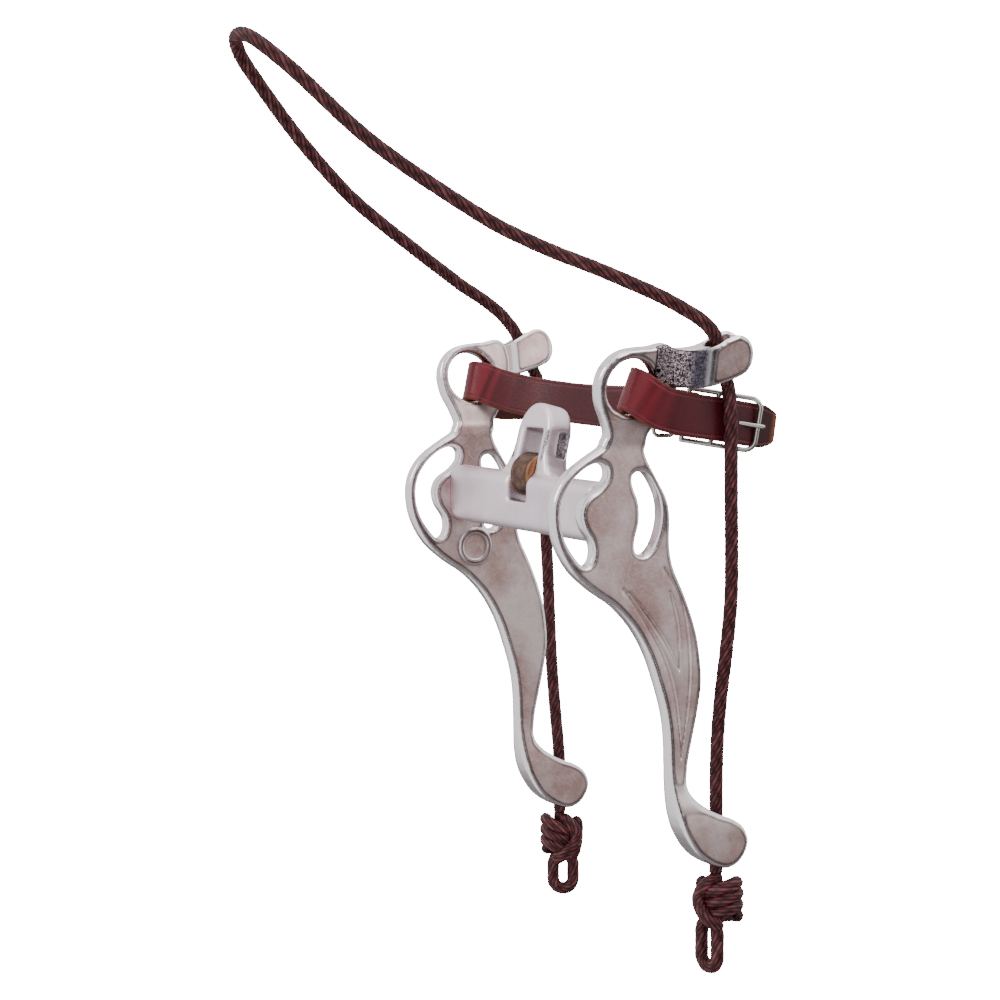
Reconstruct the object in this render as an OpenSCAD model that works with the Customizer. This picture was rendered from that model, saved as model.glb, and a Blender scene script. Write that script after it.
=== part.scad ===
// Western rope-headstall gag bit: two cast cheeks joined by a flat bar mouthpiece with a
// leaning port and a spinning roller, a rope headstall that slides through both cheeks,
// and a leather curb strap buckled through the two rings.
// +X is the horse's left, +Y runs back along the jaw, +Z is up. The origin is the bar's centre.

/* [Mouthpiece] */
// Distance between the middles of the two cheek plates
mouth_w = 130; // [120:1:140]
// Height of the flat bar
bar_h = 25.4; // [22:0.1:28]
// Depth of the flat bar, front to back
bar_d = 13; // [11:0.5:16]
// Half the width of the port
port_r = 13.7; // [12:0.1:15]
// Height of the port along its own lean
port_h = 43.5; // [38:0.5:48]
// How far the port leans back
port_lean = 14; // [0:1:20]

/* [Roller] */
// Outer radius of the roller
roller_r = 9.7; // [8:0.1:10]
// Width of the roller
roller_w = 15.6; // [12:0.1:15.6]
// Radius of its axle
axle_r = 1.6; // [1.2:0.1:2]

/* [Cheeks] */
// Thickness of the cheek plate
cheek_t = 6.5; // [5:0.5:8]
// How far the ring leans outwards
ring_lean = 10; // [6:1:12]
// Radius of the ring's eye
eye_r = 11.8; // [11.5:0.1:12]
// Thickness of the lug that guides the rope
lug_t = 12.3; // [11:0.1:14]
// Thickness of the foot that guides the rope
foot_t = 12.5; // [11:0.1:14]

/* [Rope] */
// Diameter of the rope
rope_d = 6; // [5.4:0.1:6.6]
// Radius of the holes that the rope runs through
rope_hole_r = 3.7; // [3.6:0.1:3.9]

/* [Curb strap] */
// Width of the leather
strap_w = 18.4; // [17:0.1:18.6]
// Thickness of the leather
strap_t = 3; // [2:0.1:3]
// Radius of the buckle's wire
wire_r = 1.1; // [0.9:0.1:1.2]

/* [Hidden] */
$fn = 48;

cheek_x = mouth_w / 2;
plate_in = cheek_x - cheek_t / 2;
bend_z = 28;                    // where the ring starts to lean outwards
curve_steps = 3;                // facets between two points of an outline
rope_sides = 8;

// Cheek outline below the bend, as (y, z), from the neck down the front and up the back
cheek_pts = [
    [-1.5, 31], [-3.2, 28], [-10.5, 23.7], [-20, 17.2], [-25.7, 9], [-27.3, 0],
    [-25.2, -11.5], [-18.5, -23], [-8, -32], [2, -38.5], [11.5, -48], [19, -60],
    [24.4, -74], [28, -86], [29.6, -97], [30.2, -110], [31.4, -122.5], [34.9, -135.5],
    [41.6, -146.6], [50, -152.9], [57.6, -155.2], [63.6, -153.1], [67.4, -148.4],
    [68.4, -143.4], [65.6, -137.6], [59.4, -133.7], [52, -130.6], [44.7, -126.2],
    [40.2, -121.7], [38.6, -117],
    [39.6, -108], [42, -97], [44.6, -85], [46.2, -72.5], [44.2, -56], [40.5, -44],
    [35.8, -33], [31, -23], [29.3, -13], [29.6, -4], [28.2, 4.5], [23.8, 12.3],
    [18.2, 21.5], [15.9, 28], [16.6, 31]
];
// The two crescent slots either side of the bar, as (y, z)
front_slot_pts = [
    [-6.5, 21.3], [-2, 19.8], [-1.2, 15.3], [-5.5, 10.5], [-11.3, 6.8], [-14, 1],
    [-12.6, -5.6], [-8.4, -12], [-8.4, -18.5], [-11.8, -21.6], [-16.5, -17.8],
    [-21.5, -10.3], [-23.8, -2], [-23, 6.5], [-18.8, 13.7], [-12.5, 19]
];
rear_slot_pts = [
    [14.5, 17.3], [10.6, 15.6], [11.2, 10.5], [13.8, 4.5], [14.3, -3.6], [12.2, -11],
    [12.3, -16.5], [16.8, -18.2], [21.2, -14.5], [24, -8], [25, -1], [24, 6],
    [21, 12], [17.8, 16.2]
];
// The ring above the bend, as (y, height up the lean)
ring_pts = [
    [-1.7, -1.5], [-1.6, 4.5], [-4, 11], [-7.2, 17.5], [-8.6, 25], [-7.4, 31],
    [-4, 36], [1.5, 39.6], [8.5, 40.9], [16, 41.5], [23, 42.8], [27.5, 39],
    [28.5, 31], [27.5, 23.5], [25, 16.5], [21.2, 9.8], [17.4, 4.2], [15.9, -1.5]
];
eye_at = [7.3, 25.3];
// The lug seen from the side, as (y, height), and from above, as (outward offset, y)
lug_side_pts = [
    [17, 41], [24, 40.6], [30.5, 41.4], [37, 43.8], [43, 46.8], [48.5, 49], [53.4, 47.8],
    [57, 43.6], [57.8, 38.4], [55.2, 33.8], [50, 31], [43, 28.8], [36, 26.8], [29, 25.2],
    [22.5, 24.8], [19.5, 32]
];
lug_plan_pts = [
    [-3.25, 14], [-3.25, 22.5], [-1.5, 28], [2, 32.5], [3.9, 37.5], [3.9, 48], [3.9, 54.5],
    [5.2, 57.6], [7.2, 58.6], [13.3, 58.6], [15.3, 57.8], [16.3, 55], [16.3, 48],
    [16.2, 41], [15.4, 36.5], [11.5, 32.3], [6.5, 28.4], [3.6, 24], [3.25, 20], [3.25, 14]
];
lug_off = 10.05;                // outward offset of the rope slot's middle
lug_slot_y = [40.3, 50.3];      // centres of the slot's two round ends
// Half the foot's extra thickness as it grows downwards, as (z, share of the full growth)
foot_growth = [
    [-104, 0], [-110, 0.04], [-116, 0.17], [-121, 0.4], [-126, 0.67], [-130.5, 0.87],
    [-135, 0.97], [-140, 1], [-165, 1]
];
foot_x = 66;
foot_hole_y = 55.5;
groove_w = 1.1;
groove_deep = 0.6;
// Decorative grooves on the outer face, as (y, z)
grooves = [
    [[6, -31.5], [15, -43], [26, -60.5], [32, -77], [35, -97], [35.6, -106]],
    [[26.5, -24], [34.8, -37], [39, -55], [39.8, -73], [38, -90], [35.6, -106]],
    [[9, -33], [17, -42], [27, -55], [34.5, -68]],
    [[29.5, -34], [33.6, -50], [34.5, -68]]
];
boss_at = [6.5, -25.5];

port_off = 0.5;                 // where the port's middle crosses the bar's mid-height
roller_at = [0.8, 12.4];        // (front to back, up) in the port's own lean
slot_hw = roller_w / 2 + 0.4;
axle_len = 32.6;
bar_corner = 5.5;

// Rope route, left half, from the underside of the lug over the top to the crown
crown_half = [
    [79.8, 49.3, 53.8], [81.5, 45, 63.6], [83.3, 40.5, 73.5], [82.6, 35.5, 79],
    [80, 29.5, 83.3], [76.5, 19, 89.2], [71.8, 5.5, 95.4], [65, -7.5, 101.5],
    [58, -19.5, 106.8], [52, -31, 112.4], [47.3, -42.5, 118.4], [44.2, -54, 125.3],
    [40.8, -66, 133], [36, -77.5, 141.2], [31, -89, 150.2], [27, -99.5, 159.5],
    [23.4, -109.5, 169.3], [19.5, -119, 178.8], [14.5, -127.5, 187],
    [7.8, -132.8, 192.7], [0, -134.5, 194.5]
];
// Rope route from the lug down behind the cheek and through the foot to the knot
run_pts = [
    [79.8, 49.3, 53.8], [79.6, 50.1, 52], [79.9, 50.9, 46], [80.1, 51.4, 36], [79.9, 51.8, 23],
    [79.1, 52.6, 5], [78, 53.8, -16], [76.7, 54.6, -38], [74.2, 54.2, -60],
    [71.5, 53.6, -79], [69.3, 53.6, -96], [67.6, 54.2, -112], [66.5, 55, -126],
    [66, 55.5, -138], [66, 55.5, -157.8]
];
knot_y = 57;
knot_top = -157.8;
knot_prof = [
    [0, 0], [5, 0], [8.6, -3], [10.2, -8], [9.4, -12.5], [10.2, -17], [8.2, -22.5], [4, -25.4],
    [0, -25.4]
];
loop_w = 4.8;                   // half the distance between the loop's two strands
loop_turn = [10, 61];           // heading of each loop's width, left then right
loop_y = [52.5, 57.5];
loop_drop = [12.4, 9.4];        // straight length of the strands below the knot
loop_top = -181.8;

// Strap route: [x, y, z, outward lean, backward lean]. It starts at the folded end's tail,
// goes round the buckle's front bar, behind the chin, out round the right ring, back in
// front, out round the left ring and through the buckle to the tip.
fold_pts = [
    [32, 44.6, 41.3, 0, 0], [38, 43.95, 41.3, 0, 0], [45, 42.6, 41.3, 0, 0],
    [52, 41.05, 41.1, 0.01, 0.02], [58, 39.4, 40.8, 0.04, 0.08],
    [61.4, 37.5, 40.5, 0.06, 0.13], [64.5, 36, 40.4, 0.074, 0.148],
    [66.8, 36.9, 40.4, 0.074, 0.148], [67.5, 39, 40.4, 0.074, 0.148],
    [66.7, 41.1, 40.4, 0.074, 0.148], [64.5, 42.1, 40.4, 0.07, 0.14],
    [61.5, 42.4, 40.5, 0.05, 0.1], [58, 43.1, 40.8, 0.02, 0.05],
    [50, 45, 41.1, 0, 0], [40, 47.3, 41, 0, 0], [25, 49, 41, 0, 0], [0, 49.8, 41, 0, 0],
    [-25, 49.2, 41, 0, 0], [-45, 48.3, 41.2, 0, 0], [-60, 47.2, 41.5, 0, 0],
    [-68, 45, 41.6, 0, 0.05], [-73, 40.5, 41.5, 0, 0.1], [-75.1, 34, 41.5, -0.03, 0.15]
];
wrap_pts = [
    [75.5, 27, 41.8, 0.1, 0.18], [75.6, 20, 43.7, 0.15, 0.27], [75.2, 14, 46.8, 0.17, 0.31],
    [72.6, 9.2, 50.5, 0.18, 0.3], [67.6, 8.4, 51.5, 0.18, 0.3], [63.4, 11, 50.9, 0.18, 0.3],
    [59.5, 16, 48.4, 0.1, 0.3], [52, 22.5, 45.8, 0, 0.26], [40, 30, 43.6, 0, 0.2],
    [22, 36, 42, 0, 0.1]
];
tail_pts = [
    [75.2, 35.5, 40.2, 0.03, 0.16], [74.9, 47, 38.6, 0, 0.16], [74.9, 58, 36.85, 0, 0.16],
    [74.9, 68, 35.2, 0, 0.16], [74.9, 77, 33.8, 0, 0.16]
];
tongue_slot_y = [52.4, 61.6];
tongue_slot_z = 36.9;
tongue_slot_r = 1.8;
buckle_at = [64.5, 39, 40.4];
buckle_pitch = 9.4;
buckle_yaw = 63.6;
buckle_len = 31.2;
buckle_bend = 4.5;              // radius of the two corners beside the end bar
middle_bar = 12.6;
bar_hz = 11;
keeper_at = [38, 45.75, 41.2];
keeper_yaw = -11.5;
keeper_hy = 4.8;
keeper_hz = 11.4;
keeper_bend = 2.5;
keeper_r = 0.9;
rivet_x = 56;
rivet_y = 41.8;
rivet_yaw = -15.2;
rivet_dz = 4.2;

// Catmull-Rom point between p1 and p2
function between(p0, p1, p2, p3, t) =
    0.5 * (2 * p1 + (p2 - p0) * t + (2 * p0 - 5 * p1 + 4 * p2 - p3) * t * t
    + (3 * p1 - p0 - 3 * p2 + p3) * t * t * t);
function closed_curve(p, n) = let (m = len(p)) [
    for (i = [0 : m - 1], k = [0 : n - 1])
        between(p[(i + m - 1) % m], p[i], p[(i + 1) % m], p[(i + 2) % m], k / n)
];
function open_curve(p, n) = let (m = len(p)) concat(
    [for (i = [0 : m - 2], k = [0 : n - 1])
        between(p[max(i - 1, 0)], p[i], p[i + 1], p[min(i + 2, m - 1)], k / n)],
    [p[m - 1]]);
function unit(v) = v / norm(v);
function reversed(p) = [for (i = [len(p) - 1 : -1 : 0]) p[i]];
function mirrored(p) = [for (q = p) [for (i = [0 : len(q) - 1]) (i == 0 || i == 3) ? -q[i] : q[i]]];
function xyz(p) = [for (q = p) [q[0], q[1], q[2]]];
function along(path, i) = unit(path[min(i + 1, len(path) - 1)] - path[max(i - 1, 0)]);
function circle_pts(r, n) = [for (i = [0 : n - 1]) r * [cos(360 * i / n), sin(360 * i / n)]];

// One closed tube: a profile carried along a path, its second axis near each given direction
module sweep(path, sides, profile) {
    m = len(path);
    k = len(profile);
    pts = [
        for (i = [0 : m - 1]) let (
            t = along(path, i),
            n = unit(cross(t, sides[i])),
            w = cross(n, t))
        for (q = profile) path[i] + n * q[0] + w * q[1]
    ];
    walls = [
        for (i = [0 : m - 2], j = [0 : k - 1])
            [i * k + j, i * k + (j + 1) % k, (i + 1) * k + (j + 1) % k, (i + 1) * k + j]
    ];
    caps = [[for (j = [k - 1 : -1 : 0]) j], [for (j = [0 : k - 1]) (m - 1) * k + j]];
    polyhedron(pts, concat(walls, caps), convexity = 10);
}

// Stands an outline drawn as (y, z) up and gives it a thickness along X
module plate(x0, t) {
    translate([x0, 0, 0]) rotate([90, 0, 90]) linear_extrude(t) children();
}

// A strip of constant width along a line of points
module strip(p, w) {
    c = open_curve(p, 4);
    m = len(c);
    side = [for (i = [0 : m - 1]) let (t = unit(c[min(i + 1, m - 1)] - c[max(i - 1, 0)]))
        w / 2 * [-t[1], t[0]] * sin(180 * (i + 0.35) / (m - 0.3))];
    polygon(concat([for (i = [0 : m - 1]) c[i] + side[i]],
        [for (i = [m - 1 : -1 : 0]) c[i] - side[i]]));
}

module lug() {
    intersection() {
        plate(-6, 26) polygon(closed_curve(lug_side_pts, curve_steps));
        translate([0, 0, 14]) linear_extrude(46)
            polygon(concat([lug_plan_pts[0]], open_curve(lug_plan_pts, 2)));
    }
}

module rope_slot() {
    for (y = lug_slot_y)
        translate([lug_off, y, 15]) cylinder(r = rope_hole_r, h = 50);
    translate([lug_off - rope_hole_r, lug_slot_y[0], 15])
        cube([2 * rope_hole_r, lug_slot_y[1] - lug_slot_y[0], 50]);
}

module ring_and_lug() {
    translate([cheek_x, 0, bend_z]) rotate([0, ring_lean, 0]) difference() {
        union() {
            plate(-cheek_t / 2, cheek_t) polygon(closed_curve(ring_pts, curve_steps));
            lug();
        }
        translate([0, eye_at[0], eye_at[1]]) rotate([0, 90, 0])
            cylinder(r = eye_r, h = 30, center = true);
        rope_slot();
    }
}

// The cheek below the bend seen from the front, as (x, z): the plate swells into the foot
module swelling_profile() {
    inner = plate_in - (foot_x - foot_t / 2);
    outer = foot_x + foot_t / 2 - (plate_in + cheek_t);
    polygon(concat([[plate_in, 40]],
        [for (g = foot_growth) [plate_in - inner * g[1], g[0]]],
        reversed([for (g = foot_growth) [plate_in + cheek_t + outer * g[1], g[0]]]),
        [[plate_in + cheek_t, 40]]));
}

module cheek(with_boss) {
    difference() {
        intersection() {
            plate(foot_x - foot_t, 2 * foot_t) difference() {
                polygon(closed_curve(cheek_pts, curve_steps));
                polygon(closed_curve(front_slot_pts, curve_steps));
                polygon(closed_curve(rear_slot_pts, curve_steps));
            }
            translate([0, 90, 0]) rotate([90, 0, 0]) linear_extrude(140) swelling_profile();
        }
        translate([foot_x, foot_hole_y, -170]) cylinder(r = rope_hole_r, h = 50);
        plate(plate_in + cheek_t - groove_deep, 1) for (g = grooves) strip(g, groove_w);
    }
    ring_and_lug();
    if (with_boss) boss();
}

// A plain raised ring cast on the inner face
module boss() {
    translate([plate_in + 0.3, boss_at[0], boss_at[1]]) rotate([0, -90, 0]) difference() {
        cylinder(r = 8, h = 1);
        translate([0, 0, -1]) cylinder(r = 6.9, h = 3);
    }
}

module cheek_left() {
    color("#B9B0AC") cheek(false);
}

module cheek_right() {
    color("#B2AAA8") mirror([1, 0, 0]) cheek(true);
}

// Places a thing in the port's own leaning frame
module leaned() {
    translate([0, port_off, 0]) rotate([-port_lean, 0, 0]) children();
}

module bar_section() {
    square([bar_d, bar_h - 2 * bar_corner], center = true);
    square([bar_d - 2 * bar_corner, bar_h], center = true);
    for (sy = [-1, 1], sz = [-1, 1])
        translate([sy * (bar_d / 2 - bar_corner), sz * (bar_h / 2 - bar_corner)])
            circle(r = bar_corner);
}

// The port from the front: a straight-sided arch that flares into the bar
module port_outline() {
    flare = [[24.5, 8], [20.5, 11.5], [16.8, 16], [14.4, 21], [port_r, 26]];
    dome_s = port_h - port_r;
    dome = [for (a = [0 : 10 : 180]) [port_r * cos(a), dome_s + port_r * sin(a)]];
    left = reversed([for (q = flare) [-q[0], q[1]]]);
    polygon(concat([[24.5, -2]], flare, dome, left, [[-24.5, -2]]));
}

module mouthpiece() {
    color("#CFC9CE") difference() {
        union() {
            plate(-plate_in, 2 * plate_in) bar_section();
            leaned() translate([0, 5.9, 0]) rotate([90, 0, 0]) linear_extrude(11.8)
                port_outline();
        }
        leaned() {
            translate([-slot_hw, -20, -1]) cube([2 * slot_hw, 40, 33.4]);
            translate([0, roller_at[0], roller_at[1]]) rotate([0, 90, 0])
                cylinder(r = axle_r + 0.02, h = axle_len + 0.2, center = true);
            for (s = [-1, 1])
                translate([s * (port_r - 0.9) - 1, 0, 18]) cube([2 + 0.4, 5, 14]);
        }
    }
}

module roller() {
    soft = 1.4;
    hw = roller_w / 2;
    arc = [for (a = [0 : 15 : 90]) [roller_r - soft + soft * sin(a), hw - soft + soft * cos(a)]];
    half = concat([[axle_r + 0.08, hw]], arc);
    prof = concat(half, reversed([for (q = half) [q[0], -q[1]]]));
    color("#7E5A40") leaned() translate([0, roller_at[0], roller_at[1]]) rotate([0, 90, 0])
        rotate_extrude($fn = 96) polygon(prof);
}

module roller_axle() {
    color("#8C8A88") leaned() translate([0, roller_at[0], roller_at[1]]) rotate([0, 90, 0])
        cylinder(r = axle_r, h = axle_len, center = true);
}

module rope_tube(path, side) {
    color("#3C1A20") sweep(path, [for (p = path) side], circle_pts(rope_d / 2, rope_sides));
}

module headstall_rope() {
    half = crown_half;
    other = [for (i = [len(half) - 2 : -1 : 0]) [-half[i][0], half[i][1], half[i][2]]];
    rope_tube(concat(half, other), unit([0, 0.9, 0.44]));
}

module rope_run_left() {
    rope_tube(run_pts, [0, 1, 0]);
}

module rope_run_right() {
    rope_tube(mirrored(run_pts), [0, 1, 0]);
}

module knot(side) {
    color("#45222A") translate([side * foot_x, knot_y, knot_top])
        rotate_extrude() polygon(knot_prof);
}

module knot_left() {
    knot(1);
}

module knot_right() {
    knot(-1);
}

module rein_loop(side, turn, y, drop) {
    color("#3C1A20") translate([side * foot_x, y, loop_top]) rotate([0, 0, turn]) {
        for (s = [-1, 1])
            translate([s * loop_w, 0, -drop]) cylinder(r = rope_d / 2, h = drop);
        translate([0, 0, -drop]) rotate([-90, 0, 0])
            rotate_extrude(angle = 180) translate([loop_w, 0]) circle(d = rope_d, $fn = 32);
    }
}

module rein_loop_left() {
    rein_loop(1, loop_turn[0], loop_y[0], loop_drop[0]);
}

module rein_loop_right() {
    rein_loop(-1, loop_turn[1], loop_y[1], loop_drop[1]);
}

module curb_strap() {
    hw = strap_w / 2;
    ht = strap_t / 2;
    ease = 0.6;
    profile = [
        [ht, -hw + ease], [ht, hw - ease], [ht - ease, hw], [ease - ht, hw],
        [-ht, hw - ease], [-ht, ease - hw], [ease - ht, -hw], [ht - ease, -hw]
    ];
    right_wrap = mirrored(wrap_pts);
    middle = [[0, 38, 41.3, 0, 0.05]];
    route = concat(fold_pts, right_wrap, middle, reversed(wrap_pts), tail_pts);
    fine = open_curve(route, 2);
    color("#6B2F33") difference() {
        sweep(xyz(fine), [for (q = fine) unit([q[3], q[4], 1])], profile);
        translate([70, 0, tongue_slot_z]) rotate([0, 90, 0]) linear_extrude(10) {
            for (y = tongue_slot_y) translate([0, y]) circle(r = tongue_slot_r, $fn = 24);
            translate([-tongue_slot_r, tongue_slot_y[0]])
                square([2 * tongue_slot_r, tongue_slot_y[1] - tongue_slot_y[0]]);
        }
    }
}

// Places a thing in the buckle's own frame: X towards the end bar, Z along the bars
module at_buckle() {
    translate(buckle_at) rotate([0, buckle_pitch, buckle_yaw]) children();
}

// A rectangle of round wire: ball corners where the bend is 0, else curved ones
module wire_rect(u0, u1, hz, r, bend0, bend1) {
    for (e = [[u0, bend0, 1], [u1, bend1, -1]]) {
        translate([e[0], 0, e[1] - hz]) cylinder(r = r, h = 2 * (hz - e[1]));
        for (s = [-1, 1])
            if (e[1] == 0) translate([e[0], 0, s * hz]) sphere(r = r, $fn = 24);
            else translate([e[0] + e[2] * e[1], 0, s * (hz - e[1])]) rotate([90, 0, 0])
                rotate([0, 0, e[2] < 0 ? (s > 0 ? 0 : -90) : (s > 0 ? 90 : 180)])
                    rotate_extrude(angle = 90) translate([e[1], 0]) circle(r = r, $fn = 24);
    }
    for (s = [-1, 1])
        translate([u0 + bend0, 0, s * hz]) rotate([0, 90, 0])
            cylinder(r = r, h = u1 - u0 - bend0 - bend1);
}

module buckle_frame() {
    color("#B8B6B4") at_buckle() {
        wire_rect(0, buckle_len, bar_hz, wire_r, 0, buckle_bend);
        translate([middle_bar, 0, -bar_hz]) cylinder(r = wire_r, h = 2 * bar_hz);
    }
}

module buckle_tongue() {
    eye_out = 2.2;
    reach = 20.6;
    lift = 6.8;
    color("#B0AEAC") at_buckle() translate([middle_bar, 0, 0]) rotate([0, 0, -lift]) difference() {
        union() {
            translate([0, 0, -1.1]) cylinder(r = eye_out, h = 2.2);
            translate([1, 0, 0]) rotate([0, 90, 0]) cylinder(r = 0.9, h = reach - 1);
            translate([reach, 0, 0]) sphere(r = 0.9, $fn = 24);
        }
        cylinder(r = wire_r + 0.08, h = 6, center = true);
    }
}

module strap_keeper() {
    color("#B8B6B4") translate(keeper_at) rotate([0, 0, keeper_yaw + 90])
        wire_rect(-keeper_hy, keeper_hy, keeper_hz, keeper_r, keeper_bend, keeper_bend);
}

module fold_rivets() {
    color("#A9A6A3") for (s = [-1, 1])
        translate([rivet_x, rivet_y, 41.3 + s * rivet_dz]) rotate([0, 0, rivet_yaw])
            rotate([90, 0, 0]) {
                cylinder(r = 1.2, h = 7.4, center = true);
                for (e = [-1, 1])
                    translate([0, 0, e * 3.8]) cylinder(r = 2.6, h = 0.8, center = true);
            }
}

cheek_left();
cheek_right();
mouthpiece();
roller();
roller_axle();
headstall_rope();
rope_run_left();
rope_run_right();
knot_left();
knot_right();
rein_loop_left();
rein_loop_right();
curb_strap();
buckle_frame();
buckle_tongue();
strap_keeper();
fold_rivets();
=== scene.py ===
import math

import bpy
import numpy as np
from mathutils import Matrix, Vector, noise


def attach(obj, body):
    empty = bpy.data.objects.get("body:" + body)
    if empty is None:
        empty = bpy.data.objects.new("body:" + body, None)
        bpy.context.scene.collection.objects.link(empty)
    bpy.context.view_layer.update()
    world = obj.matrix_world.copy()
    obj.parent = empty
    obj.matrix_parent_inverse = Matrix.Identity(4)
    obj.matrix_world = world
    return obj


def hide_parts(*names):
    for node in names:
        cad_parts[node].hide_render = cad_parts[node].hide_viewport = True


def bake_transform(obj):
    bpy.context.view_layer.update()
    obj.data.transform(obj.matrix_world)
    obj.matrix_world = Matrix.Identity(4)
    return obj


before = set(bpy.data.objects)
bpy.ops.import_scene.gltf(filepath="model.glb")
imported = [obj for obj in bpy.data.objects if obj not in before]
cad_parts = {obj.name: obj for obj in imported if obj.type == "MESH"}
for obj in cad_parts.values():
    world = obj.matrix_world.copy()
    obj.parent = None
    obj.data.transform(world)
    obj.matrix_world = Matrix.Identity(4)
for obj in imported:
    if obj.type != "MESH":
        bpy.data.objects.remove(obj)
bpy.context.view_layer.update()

MM = 0.001


# ---------------------------------------------------------------- camera

CAMERA_AZIMUTH = math.radians(60.89)
CAMERA_ELEVATION = math.radians(4.85)
CAMERA_AT = Vector((0.8204, -0.4712, 0.0811))
CAMERA_LENS = 77.72

back = Vector((math.sin(CAMERA_AZIMUTH) * math.cos(CAMERA_ELEVATION),
               -math.cos(CAMERA_AZIMUTH) * math.cos(CAMERA_ELEVATION),
               math.sin(CAMERA_ELEVATION)))
camera_data = bpy.data.cameras.new("studio_camera")
camera_data.lens = CAMERA_LENS
camera_data.sensor_width = 36
camera_data.clip_start = 0.01
camera = bpy.data.objects.new("studio_camera", camera_data)
camera.rotation_mode = "QUATERNION"
camera.rotation_quaternion = (-back).to_track_quat("-Z", "Y")
camera.location = CAMERA_AT
bpy.context.scene.collection.objects.link(camera)
bpy.context.scene.camera = camera


# ---------------------------------------------------------------- small helpers

def linear(hex_colour):
    """An sRGB hex colour as the linear, opaque colour that the shaders take."""
    parts = [int(hex_colour[i:i + 2], 16) / 255 for i in (1, 3, 5)]
    return [p / 12.92 if p <= 0.04045 else ((p + 0.055) / 1.055) ** 2.4 for p in parts] + [1.0]


def add(tree, kind, inputs=None, **settings):
    """Adds a node, sets its properties, and sets or links its inputs."""
    made = tree.nodes.new(kind)
    for name, value in settings.items():
        setattr(made, name, value)
    for name, value in (inputs or {}).items():
        if isinstance(value, bpy.types.NodeSocket):
            tree.links.new(value, made.inputs[name])
        else:
            made.inputs[name].default_value = value
    return made


def ramp(tree, factor, stops):
    """A colour ramp through (place, colour or grey) stops."""
    made = add(tree, "ShaderNodeValToRGB", {"Fac": factor})
    points = made.color_ramp.elements
    while len(points) < len(stops):
        points.new(0.5)
    for point, (place, colour) in zip(points, stops):
        point.position = place
        point.color = [colour] * 3 + [1] if isinstance(colour, (int, float)) else colour
    return made.outputs["Color"]


def deselect():
    for other in bpy.context.selected_objects:
        other.select_set(False)


def make_active(piece):
    deselect()
    piece.select_set(True)
    bpy.context.view_layer.objects.active = piece


def finish_modifiers(piece):
    make_active(piece)
    for name in [m.name for m in piece.modifiers]:
        bpy.ops.object.modifier_apply(modifier=name)


def new_piece(name, verts, faces):
    mesh = bpy.data.meshes.new(name)
    mesh.from_pydata([tuple(v) for v in verts], [], faces)
    mesh.update()
    piece = bpy.data.objects.new(name, mesh)
    bpy.context.scene.collection.objects.link(piece)
    mesh.polygons.foreach_set("use_smooth", [True] * len(mesh.polygons))
    return piece


def point_attribute(piece, name, values):
    found = piece.data.attributes.new(name, "FLOAT", "POINT")
    found.data.foreach_set("value", np.asarray(values, np.float32))


def coords(piece):
    co = np.zeros(len(piece.data.vertices) * 3, np.float32)
    piece.data.vertices.foreach_get("co", co)
    return co.reshape(-1, 3).astype(float)


def set_coords(piece, co):
    piece.data.vertices.foreach_set("co", np.asarray(co, np.float32).ravel())
    piece.data.update()


def normals(piece):
    no = np.zeros(len(piece.data.vertices) * 3, np.float32)
    piece.data.vertices.foreach_get("normal", no)
    return no.reshape(-1, 3).astype(float)


def cad_copy(node, name):
    """A merged copy of a CAD node's mesh, to be worked on."""
    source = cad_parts[node]
    piece = bpy.data.objects.new(name, source.data.copy())
    bpy.context.scene.collection.objects.link(piece)
    piece.data.materials.clear()
    make_active(piece)
    bpy.ops.object.mode_set(mode="EDIT")
    bpy.ops.mesh.select_all(action="SELECT")
    bpy.ops.mesh.remove_doubles(threshold=0.00002)
    bpy.ops.object.mode_set(mode="OBJECT")
    return piece


def run_along(line):
    """The distance from a line's first point to each of its points."""
    gaps = np.linalg.norm(np.diff(line[:, :3], axis=0), axis=1)
    return np.concatenate([[0], np.cumsum(gaps)])


def smooth_through(points, samples):
    """A dense smooth curve through points, with whatever columns follow x, y and z."""
    ends = np.vstack([points[0] * 2 - points[1], points, points[-1] * 2 - points[-2]])
    dense = []
    for i in range(len(points) - 1):
        p0, p1, p2, p3 = ends[i:i + 4]
        for t in np.linspace(0, 1, samples, endpoint=False):
            dense.append(0.5 * (2 * p1 + (p2 - p0) * t + (2 * p0 - 5 * p1 + 4 * p2 - p3) * t * t
                                + (3 * p1 - p0 - 3 * p2 + p3) * t ** 3))
    dense.append(points[-1])
    return np.array(dense)


def even_steps(dense, step):
    """The same curve, with its points equally spaced."""
    run = run_along(dense)
    at = np.linspace(0, run[-1], max(2, int(round(run[-1] / step)) + 1))
    return np.stack([np.interp(at, run, column) for column in dense.T], axis=1)


def route_curve(points, step):
    """Equally spaced points, in metres, on a smooth curve through points in millimetres."""
    return even_steps(smooth_through(np.array(points, float) * MM, 24), step)


def carried_frames(line):
    """Two crossing directions carried along a line without twisting."""
    tangent = np.gradient(line, axis=0)
    tangent /= np.linalg.norm(tangent, axis=1)[:, None]
    start = np.cross(tangent[0], [0.3, 0.2, 0.93])
    normal = [start / np.linalg.norm(start)]
    for t in tangent[1:]:
        n = normal[-1] - t * np.dot(normal[-1], t)
        normal.append(n / np.linalg.norm(n))
    normal = np.array(normal)
    return normal, np.cross(tangent, normal)


def tube_faces(rings, sides, first=0):
    """Quads joining each ring of points to the next, from vertex number first on."""
    r, s = np.meshgrid(np.arange(rings - 1), np.arange(sides), indexing="ij")
    a = first + r * sides + s
    b = first + r * sides + (s + 1) % sides
    quads = np.stack([a, b, b + sides, a + sides], axis=-1).reshape(-1, 4)
    return quads.tolist()


# ---------------------------------------------------------------- braided rope

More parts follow.
